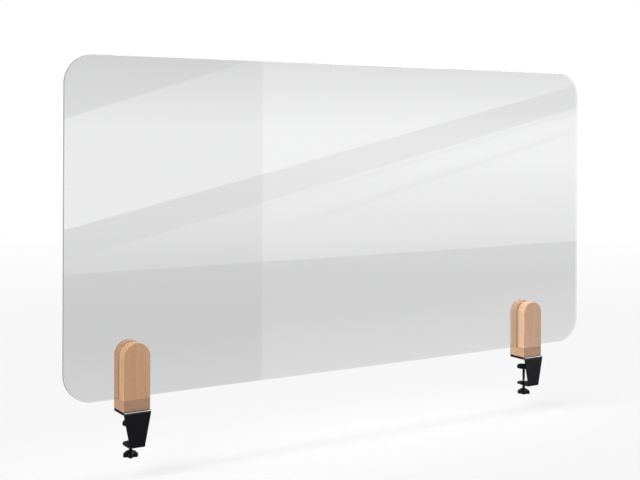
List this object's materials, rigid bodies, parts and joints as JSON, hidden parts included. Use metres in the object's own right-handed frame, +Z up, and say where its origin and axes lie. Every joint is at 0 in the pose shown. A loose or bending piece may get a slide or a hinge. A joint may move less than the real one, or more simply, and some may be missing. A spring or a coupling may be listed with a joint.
{
  "type": "desk privacy panel",
  "caption": "Clear rounded sheet standing in wooden clamp heads with arched tops, each on a bent steel bracket screwed to a desk edge by a star knob.",
  "frame": {"origin": "on the desk top, under the middle of the left clamp's head: the sheet's middle plane, the clamp's middle and the underside of the seat pad", "axes": "+X along the desk edge and the sheet's length, +Y over the desk, +Z up"},
  "size_m": [1.2, 0.049, 0.7065],
  "materials": {
    "clear_sheet": "clear acrylic, polished",
    "beech": "fine sanded, clear matt lacquer",
    "beech_block": "fine sanded, clear matt lacquer",
    "liner": "thin soft strip",
    "powder_coat": "fine satin powder coat",
    "rubber": "matt rubber",
    "bright_steel": "zinc plated",
    "black_steel": "black oxide, lightly oiled",
    "black_plastic": "fine moulded texture"
  },
  "bodies": {
    "panel": {"panel": "clear_sheet"},
    "left_clamp": {"left_bracket": "powder_coat", "left_seat_pad": "rubber", "left_base_block": "beech_block", "left_front_cheek": "beech", "left_rear_cheek": "beech", "left_front_liner": "liner", "left_rear_liner": "liner", "left_head_screws": "bright_steel"},
    "left_jaw": {"left_pressure_disc": "black_plastic", "left_pad_facing": "rubber"},
    "left_screw": {"left_spindle": "black_steel", "left_pad_clip": "bright_steel", "left_knob": "black_plastic", "left_knob_cap": "black_plastic"},
    "right_clamp": {"right_bracket": "powder_coat", "right_seat_pad": "rubber", "right_base_block": "beech_block", "right_front_cheek": "beech", "right_rear_cheek": "beech", "right_front_liner": "liner", "right_rear_liner": "liner", "right_head_screws": "bright_steel"},
    "right_jaw": {"right_pressure_disc": "black_plastic", "right_pad_facing": "rubber"},
    "right_screw": {"right_spindle": "black_steel", "right_pad_clip": "bright_steel", "right_knob": "black_plastic", "right_knob_cap": "black_plastic"}
  },
  "joints": [
    {"name": "panel_lift", "type": "slide", "parent": "left_clamp", "child": "panel", "axis": [0, 0, 1], "range_m": [0, 0.105]},
    {"name": "clamp_spacing", "type": "slide", "parent": "left_clamp", "child": "right_clamp", "axis": [1, 0, 0], "range_m": [-0.82, 0.07]},
    {"name": "left_jaw_travel", "type": "slide", "parent": "left_clamp", "child": "left_jaw", "axis": [0, 0, 1], "range_m": [-0.029, 0.01]},
    {"name": "left_knob_turn", "type": "hinge", "parent": "left_jaw", "child": "left_screw", "pos_m": [0, 0.0055, -0.04], "axis": [0, 0, 1], "range_deg": [-10450, 3610]},
    {"name": "right_jaw_travel", "type": "slide", "parent": "right_clamp", "child": "right_jaw", "axis": [0, 0, 1], "range_m": [-0.029, 0.01]},
    {"name": "right_knob_turn", "type": "hinge", "parent": "right_jaw", "child": "right_screw", "pos_m": [0.922, 0.0055, -0.04], "axis": [0, 0, 1], "range_deg": [-10450, 3610]}
  ],
  "couplings": [
    {"joint": "left_knob_turn", "follows": "left_jaw_travel", "rad_per_m": 6283.2},
    {"joint": "right_knob_turn", "follows": "right_jaw_travel", "rad_per_m": 6283.2}
  ]
}
